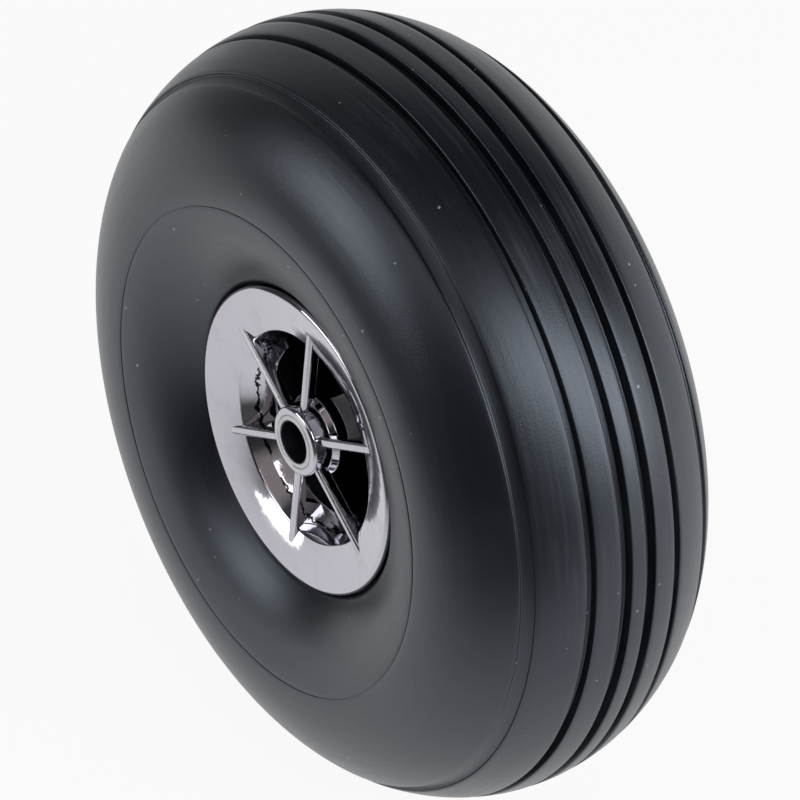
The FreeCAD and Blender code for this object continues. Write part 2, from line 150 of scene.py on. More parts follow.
class HubSettings(bpy.types.PropertyGroup):
    """Sizes and colours of the plated hub; depths run back from the lip's crest."""
    lip_radius: length("Lip Radius", "Outside radius of the lip", HUB_BOX[1].x)
    lip_round: length("Lip Roll", "Radius of the rolled lip", 0.52 * MM)
    lip_rise: length("Lip Rise", "How far the lip stands proud of the boss face", 0.08 * MM)
    lip_depth: length("Lip Depth", "Depth of the lip's flange", 1.05 * MM)
    dish_angle: angle("Dish Angle", "Slope of the outer dish", 15.6)
    knee_radius: length("Knee Radius", "Where the dish turns steeper", 10.4 * MM)
    knee_round: length("Knee Round", "Rounding of that turn", 0.4 * MM)
    throat_radius: length("Throat Radius", "Where the steep dish meets the throat", 9.5 * MM)
    throat_depth: length("Throat Depth", "Depth of that edge", 2.4 * MM)
    throat_end_radius: length("Throat End", "Radius of the throat's back edge", 8.2 * MM)
    throat_end_depth: length("Throat End Depth", "Depth of the throat's back edge", 4.0 * MM)
    dish_wall: length("Wall", "Thickness of the moulding", 0.95 * MM)
    seat_radius: length("Seat Radius", "Outside radius of the tyre seat", 13.2 * MM)
    seat_wall: length("Seat Wall", "Thickness of the tyre seat", 0.75 * MM)
    barb_height: length("Barb", "Height of the barb behind the bead", 0.45 * MM)
    barb_length: length("Barb Length", "Length of the barb", 0.6 * MM)
    boss_radius: length("Boss Radius", "Radius of the centre boss", 3.4 * MM)
    boss_round: length("Boss Round", "Rounding of the boss's face", 0.6 * MM)
    boss_foot: length("Boss Foot", "Radius of the flared foot", 3.9 * MM)
    boss_neck: length("Boss Neck", "Depth of the boss's neck", 1.92 * MM)
    boss_length: length("Boss Length", "Whole depth of the boss", 3.62 * MM)
    boss_gap: length("Boss Gap", "Gap between the boss and the sleeve", 0.02 * MM)
    spoke_width: length("Spoke Width", "Width of a spoke", 0.95 * MM)
    spoke_depth: length("Spoke Depth", "Depth of a spoke", 1.1 * MM)
    spoke_round: length("Spoke Round", "Rounding of a spoke's front edges", 0.36 * MM)
    spoke_setback: length("Spoke Setback", "Distance from the boss face to the spokes", 0.56 * MM)
    spoke_count: bpy.props.IntProperty(name="Spokes", description="Number of spokes", default=6,
                                       min=3, max=12)
    spoke_turn: angle("First Spoke", "Angle of the first spoke", 22.0)
    web_width: length("Web Width", "Width of the web under a spoke's end", 0.8 * MM)
    web_reach: length("Web Reach", "How far the web runs in from the throat", 1.1 * MM)
    axle_radius: length("Axle Radius", "Radius of the bore for the axle", 2.0 * MM)
    plating: colour("Plating", "Colour of the bright plating", (0.50, 0.49, 0.54))
    sleeve: colour("Sleeve", "Colour of the axle sleeve", (0.66, 0.66, 0.69))


class StageSettings(bpy.types.PropertyGroup):
    """Floor, lamps and camera."""
    floor: colour("Floor", "Colour of the pale floor", (0.86, 0.86, 0.87))
    floor_size: length("Floor Size", "Side of the square floor", 3.0)
    view_from: bpy.props.FloatVectorProperty(
        name="Camera", description="Camera position", subtype="XYZ", unit="LENGTH",
        default=(0.3229, -0.2297, 0.2411))
    view_angle: angle("Azimuth", "Camera direction round Z", 54.46)
    view_rise: angle("Elevation", "Camera's height angle", 31.25)
    lens: bpy.props.FloatProperty(name="Lens", description="Focal length", default=225.0,
                                  subtype="DISTANCE_CAMERA")


# ---------------------------------------------------------------- outlines and meshes

def rounded(corners, steps):
    """Points of a closed outline whose corners (x, y, radius) are rounded in some steps."""
    points = []
    for number, (x, y, radius) in enumerate(corners):
        here = Vector((x, y))
        before = Vector(corners[number - 1][:2]) - here
        after = Vector(corners[(number + 1) % len(corners)][:2]) - here
        if radius <= 0:
            points.append(here)
            continue
        half = before.angle(after) / 2
        shorter = min(before.length, after.length)
        reach = min(radius / math.tan(half), shorter * EDGE_SHARE)
        radius = reach * math.tan(half)
        middle = (before.normalized() + after.normalized()).normalized()
        centre = here + middle * (radius / math.sin(half))
        first = here + before.normalized() * reach - centre
        sweep = first.angle_signed(here + after.normalized() * reach - centre)
        for step in range(steps + 1):
            turn = Matrix.Rotation(-sweep * step / steps, 2)
            points.append(centre + turn @ first)
    return points


def skin(bm, ring, other):
    """Join two closed rings of vertices with a band of faces."""
    for point in range(len(ring)):
        after = (point + 1) % len(ring)
        bm.faces.new((ring[point], ring[after], other[after], other[point]))


def lathe(bm, outline, steps):
    """Turn a closed outline of (radius, offset) points round the Y axis."""
    rings = []
    for step in range(steps):
        turn = 2 * math.pi * step / steps
        cosine = math.cos(turn)
        sine = math.sin(turn)
        rings.append([bm.verts.new((radius * cosine, offset, radius * sine))
                      for radius, offset in outline])
    for number, ring in enumerate(rings):
        skin(bm, ring, rings[(number + 1) % steps])


def prism(bm, outline, along, start, end, across, down, steps=1):
    """Sweep a closed (across, down) outline along a direction, and close both ends."""
    rings = []
    for step in range(steps + 1):
        base = along * (start + (end - start) * step / steps)
        rings.append([bm.verts.new(base + across * a + down * d) for a, d in outline])
    for ring, other in zip(rings, rings[1:]):
        skin(bm, ring, other)
    bm.faces.new(rings[0])
    bm.faces.new(rings[-1])


def make_piece(name, bm, material, replaced):
    """Turn a bmesh into a piece that stands for a CAD node and rides with the wheel."""
    bmesh.ops.recalc_face_normals(bm, faces=bm.faces)
    mesh = bpy.data.meshes.new(name)
    bm.to_mesh(mesh)
    bm.free()
    mesh.shade_smooth()
    mesh.set_sharp_from_angle(angle=SHARP)
    piece = bpy.data.objects.new(name, mesh)
    bpy.context.scene.collection.objects.link(piece)
    mesh.materials.append(material)
    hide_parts(replaced)
    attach(piece, BODY)


# ---------------------------------------------------------------- shader helpers

class Graph:
    """Short calls for the nodes of one material, group or world."""
    MIX_COLOURS = (6, 7)    # places of a Mix node's two colour inputs
    MIX_RESULT = 2          # place of its colour output

    def __init__(self, tree):
        self.tree = tree

    def node(self, kind, **values):
        """Add a node and set its properties."""
        node = self.tree.nodes.new(kind)
        for name, value in values.items():
            setattr(node, name, value)
        return node

    def link(self, source, target):
        """Link an output to an input."""
        self.tree.links.new(source, target)

    def feed(self, target, value):
        """Give an input a number, a colour or another node's output."""
        if isinstance(value, bpy.types.NodeSocket):
            self.link(value, target)
        else:
            target.default_value = value

    def math(self, operation, first, second=0.0, clamp=False):
        """A Math node's output."""
        node = self.node("ShaderNodeMath", operation=operation, use_clamp=clamp)
        self.feed(node.inputs[0], first)
        self.feed(node.inputs[1], second)
        return node.outputs[0]

    def total(self, base, *parts):
        """A base number plus a share of each value, given as (value, share) pairs."""
        for value, share in parts:
            base = self.math("ADD", self.math("MULTIPLY", value, share), base)
        return base

    def ramp(self, value, low, high, start=0.0, end=1.0):
        """Map a value smoothly from one range to another."""
        node = self.node("ShaderNodeMapRange", interpolation_type="SMOOTHSTEP")
        for socket, number in zip(node.inputs, (value, low, high, start, end)):
            self.feed(socket, number)
        return node.outputs[0]

    def mix(self, factor, first, second):
        """Mix two colours."""
        node = self.node("ShaderNodeMix", data_type="RGBA")
        self.feed(node.inputs["Factor"], factor)
        for place, colour_value in zip(self.MIX_COLOURS, (first, second)):
            self.feed(node.inputs[place], colour_value)
        return node.outputs[self.MIX_RESULT]

    def separate(self, vector):
        """The X, Y and Z outputs of a vector."""
        node = self.node("ShaderNodeSeparateXYZ")
        self.link(vector, node.inputs[0])
        return node.outputs

    def combine(self, *parts):
        """A vector from its X, Y and Z."""
        node = self.node("ShaderNodeCombineXYZ")
        for socket, part in zip(node.inputs, parts):
            self.feed(socket, part)
        return node.outputs[0]

    def dot(self, vector, direction):
        """How far a vector reaches in a fixed direction."""
        node = self.node("ShaderNodeVectorMath", operation="DOT_PRODUCT")
        self.link(vector, node.inputs[0])
        node.inputs[1].default_value = direction
        return node.outputs["Value"]

    def noise(self, vector, scale, detail=2.0, roughness=0.5):
        """A noise texture's value."""
        node = self.node("ShaderNodeTexNoise")
        self.link(vector, node.inputs["Vector"])
        node.inputs["Scale"].default_value = scale
        node.inputs["Detail"].default_value = detail
        node.inputs["Roughness"].default_value = roughness
        return node.outputs["Fac"]

    def bump(self, height, distance, strength, normal=None):
        """A Bump node's normal."""
        node = self.node("ShaderNodeBump")
        node.inputs["Strength"].default_value = strength
        node.inputs["Distance"].default_value = distance
        self.link(height, node.inputs["Height"])
        if normal is not None:
            self.link(normal, node.inputs["Normal"])
        return node.outputs["Normal"]


def rgba(tint, share=1.0):
    """An opaque colour for a socket, with a share of the tint's brightness."""
    return (*(channel * share for channel in tint), 1.0)


def grey(level):
    """A neutral colour of this level."""
    return rgba((level, level, level))


def new_group(name, inputs, outputs):
    """A shader node group: its tree, its graph, and its input and output nodes."""
    group = bpy.data.node_groups.new(name, "ShaderNodeTree")
    for socket, kind, default in inputs:
        made = group.interface.new_socket(socket, in_out="INPUT", socket_type=kind)
        if default is not None:
            made.default_value = default
    for socket in outputs:
        group.interface.new_socket(socket, in_out="OUTPUT", socket_type="NodeSocketFloat")
    graph = Graph(group)
    return group, graph, graph.node("NodeGroupInput"), graph.node("NodeGroupOutput")


def wheel_coordinates_group():
    """Radius, offset and turn round the axle, for effects that follow the wheel's form."""
    group, graph, entry, leave = new_group(
        "wheel_coordinates", [("Vector", "NodeSocketVector", None)], ["Radius", "Offset", "Turn"])
    x, y, z = graph.separate(entry.outputs["Vector"])
    square = graph.math("ADD", graph.math("MULTIPLY", x, x), graph.math("MULTIPLY", z, z))
    graph.link(graph.math("SQRT", square), leave.inputs["Radius"])
    graph.link(y, leave.inputs["Offset"])
    graph.link(graph.math("ARCTAN2", z, x), leave.inputs["Turn"])
    return group


def dust_specks_group():
    """Small scattered dust specks: a mask that is 1 on a speck."""
    group, graph, entry, leave = new_group(
        "dust_specks",
        [("Vector", "NodeSocketVector", None), ("Scale", "NodeSocketFloat", 400.0),
         ("Size", "NodeSocketFloat", 0.12), ("Share", "NodeSocketFloat", 0.1)],
        ["Mask"])
    cells = graph.node("ShaderNodeTexVoronoi")
    graph.link(entry.outputs["Vector"], cells.inputs["Vector"])
    graph.link(entry.outputs["Scale"], cells.inputs["Scale"])
    pick = graph.node("ShaderNodeSeparateColor")
    graph.link(cells.outputs["Color"], pick.inputs[0])
    chosen = graph.math("LESS_THAN", pick.outputs["Red"], entry.outputs["Share"])
    size = graph.math("MULTIPLY", entry.outputs["Size"], pick.outputs["Green"])
    near = graph.math("LESS_THAN", cells.outputs["Distance"], size)
    graph.link(graph.math("MULTIPLY", chosen, near), leave.inputs["Mask"])
    return group


GROUP_BUILDERS = {
    "wheel_coordinates": wheel_coordinates_group,
    "dust_specks": dust_specks_group,
}


def place_group(graph, group, **values):
    """Put a node group, built the first time, in a graph and feed its named inputs."""
    tree = bpy.data.node_groups.get(group) or GROUP_BUILDERS[group]()
    node = graph.node("ShaderNodeGroup", node_tree=tree)
    for name, value in values.items():
        graph.feed(node.inputs[name], value)
    return node.outputs


def new_material(name):
    """A material with a Principled shader, and its graph and object coordinates."""
    material = bpy.data.materials.new(name)
    material.use_nodes = True
    graph = Graph(material.node_tree)
    shader = material.node_tree.nodes["Principled BSDF"]
    place = graph.node("ShaderNodeTexCoord").outputs["Object"]
    return material, graph, shader, place


# ---------------------------------------------------------------- materials

DUST_COVER = 0.5                # how much of the colour under it a dust speck hides
RUBBER_DUST = (0.42, 0.43, 0.45)
PLATING_DUST = (0.25, 0.24, 0.25)
TREAD_START = 4.2 * MM          # depth under the tread at which rubbed rubber begins to show
TREAD_FULL = 1.0 * MM           # depth at which it shows in full
STREAK_TURN = 1.6 * MM          # a turn of one radian counts as this far, so streaks run round
RUBBED_SHARE = 0.75             # wear where the streaks rub
PATCH_SHARE = 0.28              # wear in the dusty patches
RUBBER_ROUGHNESS = 0.25         # before streaks, grain and wear add to it
RUBBER_IOR = 1.7
RUBBER_SHEEN = 0.015
RUBBER_SHEEN_ROUGHNESS = 0.4
RUBBER_REFLECTION = (0.76, 0.86, 1.0)   # tint of the rubber's reflections
SEED_HUB = 11.0                 # shifts the plating's unevenness
PLATING_ROUGHNESS = 0.06        # before haze adds to it
PLATING_DULL = 0.86             # brightness of hazy plating
SLEEVE_DULL = 0.8               # brightness of hazy satin
HAZE_SHARE = 0.5                # how much of the plating's haze dulls its colour
LINE_WANDER = 0.8 * MM          # how far noise moves the dark line off the throat's edge
LINE_SHIFT = 0.36 * MM          # near the middle of that move, so the line stays about the edge
LINE_HALF = 0.13 * MM           # half width of the line
LINE_CORE = 0.04 * MM           # half width of its fully dark core
LINE_ENDS = (9.1 * MM, 8.95 * MM)   # offsets between which it fades in, behind the spokes
LINE_TINT = (0.012, 0.010, 0.010)
PEEL_REACH = (12.0 * MM, 8.5 * MM)  # radii between which the plating's peel reaches full depth
BORE_SHADE_EDGE = (0.2 * MM, 0.08 * MM)   # how far outside the bore's wall its painted shade fades in
# painted shade of the sleeve's long, deep bore, which light hardly reaches; not the tube's own
# colour
BORE_SHADE_TINT = (0.008, 0.008, 0.014)
RING_TURN = 0.3 * MM            # a turn of one radian counts as this far in the sleeve's rings


def dusted(graph, place, base, tint, **values):
    """A base colour with dust specks of one tint laid thinly over it."""
    specks = place_group(graph, "dust_specks", Vector=place, **values)
    cover = graph.math("MULTIPLY", specks["Mask"], DUST_COVER)
    return graph.mix(cover, base, rgba(tint))


def rubber_material(tyre):
    """Satin black rubber: fine grain, streaks round the wheel, rubbed ribs and dust."""
    material, graph, shader, place = new_material("tyre_rubber")
    wheel = place_group(graph, "wheel_coordinates", Vector=place)
    radius = wheel["Radius"]
    round_place = graph.combine(radius, wheel["Offset"],
                                graph.math("MULTIPLY", wheel["Turn"], STREAK_TURN))
    streaks = graph.noise(round_place, scale=2200.0, detail=3.0, roughness=0.55)
    clouds = graph.noise(place, scale=95.0, detail=3.0, roughness=0.55)
    grain = graph.noise(place, scale=6500.0, detail=3.0, roughness=0.65)
    tread = graph.ramp(radius, low=tyre.radius - TREAD_START, high=tyre.radius - TREAD_FULL)
    rubbed = graph.math("MULTIPLY", graph.ramp(streaks, low=0.42, high=0.72), tread)
    rubbed = graph.math("MULTIPLY", rubbed, graph.ramp(clouds, low=0.35, high=0.7))
    patchy = graph.math("MULTIPLY", graph.ramp(clouds, low=0.45, high=0.8), PATCH_SHARE)
    worn = graph.math("ADD", graph.math("MULTIPLY", rubbed, RUBBED_SHARE), patchy, clamp=True)
    base = graph.mix(worn, rgba(tyre.rubber), rgba(tyre.worn))
    base = dusted(graph, place, base, RUBBER_DUST, Scale=700.0, Size=0.11, Share=0.2)
    graph.link(base, shader.inputs["Base Color"])
    rough = graph.total(RUBBER_ROUGHNESS, (streaks, 0.10), (grain, 0.08), (worn, 0.08))
    graph.link(rough, shader.inputs["Roughness"])
    fine = graph.bump(grain, distance=0.022 * MM, strength=0.7)
    streaky = graph.bump(streaks, distance=0.02 * MM, strength=0.6, normal=fine)
    graph.link(streaky, shader.inputs["Normal"])
    shader.inputs["Sheen Weight"].default_value = RUBBER_SHEEN
    shader.inputs["Sheen Roughness"].default_value = RUBBER_SHEEN_ROUGHNESS
    shader.inputs["IOR"].default_value = RUBBER_IOR
    shader.inputs["Specular Tint"].default_value = rgba(RUBBER_REFLECTION)
    return material


def broken_line(graph, place, shifted, wheel, edge_radius):
    """A mask of the thin dark line that breaks up along the throat's sharp edge."""
    wander = graph.noise(place, scale=1100.0, roughness=0.6)
    radius = graph.math("ADD", wheel["Radius"], graph.math("MULTIPLY", wander, LINE_WANDER))
    away = graph.math("ABSOLUTE", graph.math("SUBTRACT", radius, edge_radius + LINE_SHIFT))
    line = graph.ramp(away, low=LINE_HALF, high=LINE_CORE)
    breaks = graph.ramp(graph.noise(shifted, scale=330.0, detail=1.0), low=0.40, high=0.47)
    offset = graph.math("ABSOLUTE", wheel["Offset"])
    return graph.math("MULTIPLY", graph.math("MULTIPLY", line, breaks),
                      graph.ramp(offset, *LINE_ENDS))


def plating_material(name, tint, seed, edge_radius):
    """Bright plating on a moulding: uneven, hazy, with a dark line at the throat's edge."""
    material, graph, shader, place = new_material(name)
    wheel = place_group(graph, "wheel_coordinates", Vector=place)
    shift = graph.node("ShaderNodeVectorMath", operation="ADD")
    graph.link(place, shift.inputs[0])
    shift.inputs[1].default_value = (seed * MM, 0.0, seed * MM)
    shifted = shift.outputs[0]
    waves = graph.noise(shifted, scale=260.0)
    peel = graph.noise(shifted, scale=1500.0, roughness=0.55)
    haze = graph.ramp(graph.noise(shifted, scale=420.0, detail=3.0, roughness=0.6),
                      low=0.45, high=0.75)
    base = graph.mix(graph.math("MULTIPLY", haze, HAZE_SHARE), rgba(tint),
                     rgba(tint, PLATING_DULL))
    base = dusted(graph, place, base, PLATING_DUST, Scale=900.0, Size=0.14, Share=0.04)
    line = broken_line(graph, place, shifted, wheel, edge_radius)
    graph.link(graph.mix(line, base, rgba(LINE_TINT)), shader.inputs["Base Color"])
    shader.inputs["Metallic"].default_value = 1.0
    rough = graph.total(PLATING_ROUGHNESS, (haze, 0.05))
    graph.link(rough, shader.inputs["Roughness"])
    inner = graph.ramp(wheel["Radius"], *PEEL_REACH, start=0.25, end=1.0)
    uneven = graph.math("MULTIPLY", peel, inner)
    soft = graph.bump(waves, distance=0.05 * MM, strength=0.5)
    peeled = graph.bump(uneven, distance=0.012 * MM, strength=0.8, normal=soft)
    graph.link(peeled, shader.inputs["Normal"])
    return material


def sleeve_material(tint, axle_radius):
    """Satin tube with painted shade in its bore: fine rings left by turning, and a little haze."""
    material, graph, shader, place = new_material("sleeve_satin")
    wheel = place_group(graph, "wheel_coordinates", Vector=place)
    rings = graph.combine(wheel["Offset"], graph.math("MULTIPLY", wheel["Turn"], RING_TURN),
                          wheel["Radius"])
    turned = graph.noise(rings, scale=3000.0, detail=3.0, roughness=0.6)
    haze = graph.noise(place, scale=500.0, detail=3.0, roughness=0.6)
    base = graph.mix(graph.ramp(haze, low=0.35, high=0.7), rgba(tint), rgba(tint, SLEEVE_DULL))
    # Painted shade: the bore is tinted near black and loses its metallic share, standing in for
    # the shade deep in the hole.
    outside, inside = BORE_SHADE_EDGE
    bore = graph.ramp(wheel["Radius"], low=axle_radius + outside, high=axle_radius + inside)
    graph.link(graph.mix(bore, base, rgba(BORE_SHADE_TINT)), shader.inputs["Base Color"])
    metal = graph.ramp(bore, low=0.0, high=1.0, start=0.25, end=0.0)
    graph.link(metal, shader.inputs["Metallic"])
    rough = graph.ramp(turned, low=0.2, high=0.8, start=0.28, end=0.4)
    graph.link(rough, shader.inputs["Roughness"])
    graph.link(graph.bump(turned, distance=0.01 * MM, strength=0.6), shader.inputs["Normal"])
    return material


# ---------------------------------------------------------------- tyre

class TyreSection:
    """A tyre cross curve of three tangent arcs, followed by distance from the middle plane."""

    def __init__(self, tyre, wall, end_radius, end_offset):
        turn = tyre.shoulder
        half = tyre.width / 2
        side = (half - tyre.crown_curve * math.sin(turn)) / (1 - math.sin(turn))
        crown_centre = tyre.radius - tyre.crown_curve
        side_centre = crown_centre + (tyre.crown_curve - side) * math.cos(turn)
        half -= wall
        inward = half - end_offset
        last = ((side_centre - end_radius) ** 2 + inward ** 2) / (2 * inward)
        end = math.atan2(end_offset - half + last, end_radius - side_centre)
        self.arcs = [
            (crown_centre, 0.0, tyre.crown_curve - wall, 0.0, turn),
            (side_centre, half - side + wall, side - wall, turn, math.pi / 2),
            (side_centre, half - last, last, math.pi / 2, end),
        ]
        self.length = sum(radius * (end - start) for _, _, radius, start, end in self.arcs)

    def at_offset(self, offset):
        """Distance along the crown's arc to a place this far from the middle plane."""
        radius = self.arcs[0][2]
        return radius * math.asin(offset / radius)

    def at_radius(self, place):
        """Distance along the last arc to a place at this radius from the axle."""
        centre, _, radius, _, end = self.arcs[-1]
        return self.length - radius * (end - math.acos((place - centre) / radius))

    def point(self, distance, depth=0.0):
        """(radius, offset) of a place on the curve, this deep in the rubber."""
        for centre, offset, radius, start, end in self.arcs:
            if distance <= radius * (end - start) or end == self.arcs[-1][-1]:
                break
            distance -= radius * (end - start)
        turn = start + distance / radius
        reach = radius - depth
        return centre + reach * math.cos(turn), offset + reach * math.sin(turn)


def groove_steps(middle, width, depth, edge):
    """(distance, depth) pairs across one groove with rounded edges and floor corners."""
    half = width / 2
    edge = min(edge, depth * GROOVE_SHARE)
    turns = [math.radians(degrees) for degrees in QUARTER]
    steps = [(-half - edge + edge * math.sin(turn), edge * (1 - math.cos(turn)))
             for turn in turns]
    steps += [(-half + edge * (1 - math.cos(turn)), depth - edge + edge * math.sin(turn))
              for turn in turns]
    steps += [(-along, deep) for along, deep in reversed(steps)]
    return [(middle + along, deep) for along, deep in steps]


def outer_half(tyre, section):
    """(radius, offset) points of the outer surface from the middle plane to the bead's toe."""
    grooves = [groove_steps(middle, width, depth, tyre.groove_round) for middle, width, depth in (
        (section.at_offset(tyre.inner_groove), tyre.inner_width, tyre.groove_depth),
        (section.at_offset(tyre.outer_groove), tyre.outer_width, tyre.groove_depth),
        (section.at_offset(tyre.band), tyre.band_width, tyre.band_depth),
        (section.at_radius(tyre.mould_radius), tyre.mould_width, tyre.mould_depth),
    )]
    spans = [0.0]
    for groove in grooves:
        spans += [groove[0][0], groove[-1][0]]
    spans.append(section.length - TOE_ROUND)
    steps = []
    for number in range(0, len(spans), 2):
        low = spans[number]
        high = spans[number + 1]
        count = max(2, math.ceil((high - low) / CURVE_STEP))
        steps += [(low + (high - low) * step / count, 0.0) for step in range(count + 1)]
        if number // 2 < len(grooves):
            steps += grooves[number // 2][1:-1]
    return [section.point(along, deep) for along, deep in steps]


def tyre_outline(tyre, hub):
    """The tyre's whole closed section, as (radius, offset) points."""
    crest = -HUB_BOX[0].y
    toe_radius = hub.lip_radius + 2 * tyre.clearance
    toe_offset = crest - tyre.toe_recess
    bead_face = crest - hub.lip_depth - tyre.clearance
    bead_back = bead_face - tyre.bead_length
    bead_radius = hub.seat_radius + tyre.clearance
    outer = outer_half(tyre, TyreSection(tyre, 0.0, toe_radius, toe_offset))
    seat = [(toe_radius, toe_offset - TOE_ROUND)] + [tuple(point) for point in rounded([
        (toe_radius, toe_offset - TOE_ROUND, 0.0),
        (toe_radius, bead_face, BEAD_ROUND),
        (bead_radius, bead_face, BEAD_ROUND),
        (bead_radius, bead_back, BEAD_BACK_ROUND),
        (hub.lip_radius, bead_back, 0.0),
    ], steps=3)][1:-1]
    inside = TyreSection(tyre, tyre.wall, hub.lip_radius + tyre.wall / 2, bead_back)
    inner = [inside.point(inside.length * (1 - step / INNER_STEPS)) for step in range(INNER_STEPS)]
    half = outer + seat + inner
    mirrored = [(radius, -offset) for radius, offset in reversed(half[1:])]
    return half + [inside.point(0.0)] + mirrored


class WHEEL_OT_tyre(bpy.types.Operator):
    """Turn the grooved rubber tyre."""
    bl_idname = "wheel.tyre"
    bl_label = "Build Tyre"

    def execute(self, context):
        tyre = context.scene.wheel_tyre
        bm = bmesh.new()
        lathe(bm, tyre_outline(tyre, context.scene.wheel_hub), TYRE_STEPS)
        make_piece("tyre_moulding", bm, rubber_material(tyre), "tyre")
        return {"FINISHED"}


# ---------------------------------------------------------------- hub

def dish_start(hub):
    """(radius, depth) of the place where the rolled lip runs into the dish."""
    radius = hub.lip_radius - hub.lip_round - hub.lip_round * math.sin(hub.dish_angle)
    return radius, hub.lip_round * (1 - math.cos(hub.dish_angle))


def rim_outline(hub, tyre):
    """Section of lip, dish, throat and bead collar: (radius, depth) behind the lip's crest."""
    slope = math.tan(hub.dish_angle)
    start_radius, start_depth = dish_start(hub)
    outer_depth = start_depth - (hub.lip_radius - start_radius) * slope
    knee_depth = start_depth + (start_radius - hub.knee_radius) * slope
    wall = hub.dish_wall
    collar = hub.seat_radius
    collar_inner = collar - hub.seat_wall
    steep = (hub.throat_depth - knee_depth) / (hub.knee_radius - hub.throat_radius)
    back_knee = hub.knee_radius + wall * math.tan((math.atan(steep) - hub.dish_angle) / 2)
    back_depth = knee_depth + wall
    throat_back = back_depth + (back_knee - hub.throat_radius - wall) * steep
    foot = back_depth - (collar_inner - back_knee) * slope
    barb = hub.lip_depth + tyre.bead_length + 2 * tyre.clearance
    barb_end = barb + hub.barb_length
    return rounded([
        (hub.lip_radius, hub.lip_depth, FLANGE_ROUND),
        (hub.lip_radius, outer_depth, hub.lip_round),
        (hub.knee_radius, knee_depth, hub.knee_round),
        (hub.throat_radius, hub.throat_depth, THROAT_ROUND),
        (hub.throat_end_radius, hub.throat_end_depth, THROAT_ROUND),
        (hub.throat_end_radius + wall, hub.throat_end_depth, THROAT_ROUND),
        (hub.throat_radius + wall, throat_back, THROAT_ROUND),
        (back_knee, back_depth, hub.knee_round),
        (collar_inner, foot, FOOT_ROUND),
        (collar_inner, barb_end, COLLAR_ROUND),
        (collar, barb_end, COLLAR_ROUND),
        (collar + hub.barb_height, barb, COLLAR_ROUND),
        (collar, barb, SEAT_ROUND),
        (collar, hub.lip_depth, SEAT_ROUND),
    ], steps=8)


def boss_outline(hub):
    """Section of the centre boss with its rounded face and flared foot."""
    bore = SLEEVE_BOX[1].x + hub.boss_gap
    neck = hub.lip_rise + hub.boss_neck
    back = hub.lip_rise + hub.boss_length
    return rounded([
        (bore, hub.lip_rise, BORE_ROUND),
        (hub.boss_radius, hub.lip_rise, hub.boss_round),
        (hub.boss_radius, neck, NECK_ROUND),
        (hub.boss_foot, neck + hub.boss_foot - hub.boss_radius, NECK_ROUND),
        (hub.boss_foot, back, FOOT_ROUND),
        (bore, back, BACK_ROUND),
    ], steps=8)


def spoke_outline(hub):
    """Section across a spoke: rounded at the front, square at the back."""
    half = hub.spoke_width / 2
    front = hub.lip_rise + hub.spoke_setback
    back = front + hub.spoke_depth
    return rounded([
        (-half, back, BACK_ROUND),
        (-half, front, hub.spoke_round),
        (half, front, hub.spoke_round),
        (half, back, BACK_ROUND),
    ], steps=7)


def web_outline(hub):
    """Side view of the web that ties a spoke into the throat: (radius, depth)."""
    middle = hub.lip_rise + hub.spoke_setback + hub.spoke_depth / 2
    third = hub.dish_wall / 3
    return rounded([
        (hub.throat_end_radius - hub.web_reach, middle, WEB_ROUND),
        (hub.throat_end_radius + third, hub.throat_end_depth - third, WEB_ROUND),
        (hub.throat_radius + hub.dish_wall / 2, hub.throat_depth, 0.0),
        (hub.knee_radius - third, middle, 0.0),
    ], steps=3)


def hub_mesh(hub, tyre):
    """One hub half, drawn with its lip's crest at 0 and its depth along +Y."""
    bm = bmesh.new()
    lathe(bm, rim_outline(hub, tyre), HUB_STEPS)
    lathe(bm, boss_outline(hub), HUB_STEPS)
    root = (SLEEVE_BOX[1].x + hub.boss_radius) / 2
    run = (hub.lip_rise + hub.spoke_setback) / math.tan(hub.dish_angle)
    tip = dish_start(hub)[0] - run + hub.dish_wall / 2
    section = spoke_outline(hub)
    web = web_outline(hub)
    down = Vector((0, 1, 0))
    for number in range(hub.spoke_count):
        turn = 2 * math.pi * number / hub.spoke_count
        along = Vector((math.cos(turn), 0, math.sin(turn)))
        across = Vector((-math.sin(turn), 0, math.cos(turn)))
        prism(bm, section, along, root, tip, across, down, SPOKE_STEPS)
        prism(bm, web, across, -hub.web_width / 2, hub.web_width / 2, along, down)
    return bm


class WHEEL_OT_hub(bpy.types.Operator):
    """Build both plated hub halves, one at each side of the tyre."""
    bl_idname = "wheel.hub"
    bl_label = "Build Hub Halves"

    def execute(self, context):
        hub = context.scene.wheel_hub
        plating = plating_material("hub_plating", hub.plating, SEED_HUB, hub.throat_radius)
        turn = Matrix.Rotation(-hub.spoke_turn, 4, "Y")
        front = Matrix.Translation((0, HUB_BOX[0].y, 0)) @ turn
        # The rear half is the front one turned over about its first spoke, so spokes line up.
        first_spoke = Vector((math.cos(hub.spoke_turn), 0, math.sin(hub.spoke_turn)))
        over = Matrix.Rotation(math.pi, 4, first_spoke)
        for name, node, place in (("hub_front_moulding", "hub_front", front),
                                  ("hub_rear_moulding", "hub_rear", over @ front)):
            bm = hub_mesh(hub, context.scene.wheel_tyre)
            bm.transform(place)
            make_piece(name, bm, plating, node)
        return {"FINISHED"}


class WHEEL_OT_sleeve(bpy.types.Operator):
    """Build the tube that joins both bosses."""
    bl_idname = "wheel.sleeve"
    bl_label = "Build Axle Sleeve"

    def execute(self, context):
        hub = context.scene.wheel_hub
        low, high = SLEEVE_BOX
        bore = hub.axle_radius
        outline = rounded([
            (bore, low.y, SLEEVE_BORE_ROUND),
            (high.x, low.y, SLEEVE_END_ROUND),
            (high.x, high.y, SLEEVE_END_ROUND),
            (bore, high.y, SLEEVE_BORE_ROUND),
        ], steps=5)
        bm = bmesh.new()
        lathe(bm, outline, HUB_STEPS)
        material = sleeve_material(hub.sleeve, bore)
        make_piece("axle_sleeve_tube", bm, material, "axle_sleeve")
        return {"FINISHED"}


# ---------------------------------------------------------------- stage

